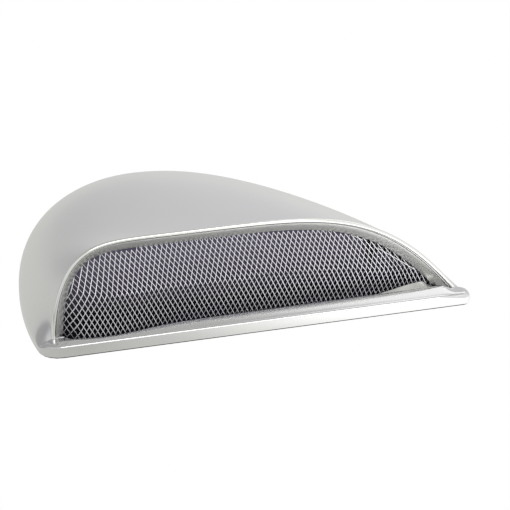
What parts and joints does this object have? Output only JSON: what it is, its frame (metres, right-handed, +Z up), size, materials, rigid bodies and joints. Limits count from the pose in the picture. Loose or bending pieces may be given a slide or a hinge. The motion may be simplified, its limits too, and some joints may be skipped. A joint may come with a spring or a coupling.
{
  "type": "cowl vent",
  "caption": "Low D-plan cowl vent for a boat deck: chromed wedge hood with a wide mouth, beaded edge, creased diamond-mesh screen and a level sill, fixed from below.",
  "frame": {"origin": "centre of the bounding box in plan, at the underside of the deck gasket (the deck plane)", "axes": "+Z up off the deck, -Y out of the mouth, +Y to the tail, +X to the right of someone looking into the mouth"},
  "size_m": [0.28, 0.3058, 0.0664],
  "materials": {
    "chrome_plate": "polished plate",
    "bezel_chrome": "satin plate",
    "bead_chrome": "polished plate",
    "screen_steel": "satin expanded sheet",
    "retainer_steel": "satin",
    "strip_steel": "satin",
    "washer_steel": "satin",
    "nut_steel": "satin",
    "insert_brass": "turned",
    "gasket_rubber": "matt closed-cell"
  },
  "bodies": {
    "root": {"cowl_shell": "chrome_plate", "mouth_bezel": "bezel_chrome", "mouth_bead": "bead_chrome", "mesh_screen": "screen_steel", "screen_retainer": "retainer_steel", "sill_strip": "strip_steel", "deck_gasket": "gasket_rubber", "screen_washer_1": "washer_steel", "screen_nut_1": "nut_steel", "screen_washer_2": "washer_steel", "screen_nut_2": "nut_steel", "screen_washer_3": "washer_steel", "screen_nut_3": "nut_steel", "screen_washer_4": "washer_steel", "screen_nut_4": "nut_steel", "screen_washer_5": "washer_steel", "screen_nut_5": "nut_steel", "screen_washer_6": "washer_steel", "screen_nut_6": "nut_steel", "screen_washer_7": "washer_steel", "screen_nut_7": "nut_steel", "screen_washer_8": "washer_steel", "screen_nut_8": "nut_steel", "deck_insert_1": "insert_brass", "deck_insert_2": "insert_brass", "deck_insert_3": "insert_brass", "deck_insert_4": "insert_brass", "deck_insert_5": "insert_brass", "deck_insert_6": "insert_brass"}
  },
  "joints": []
}
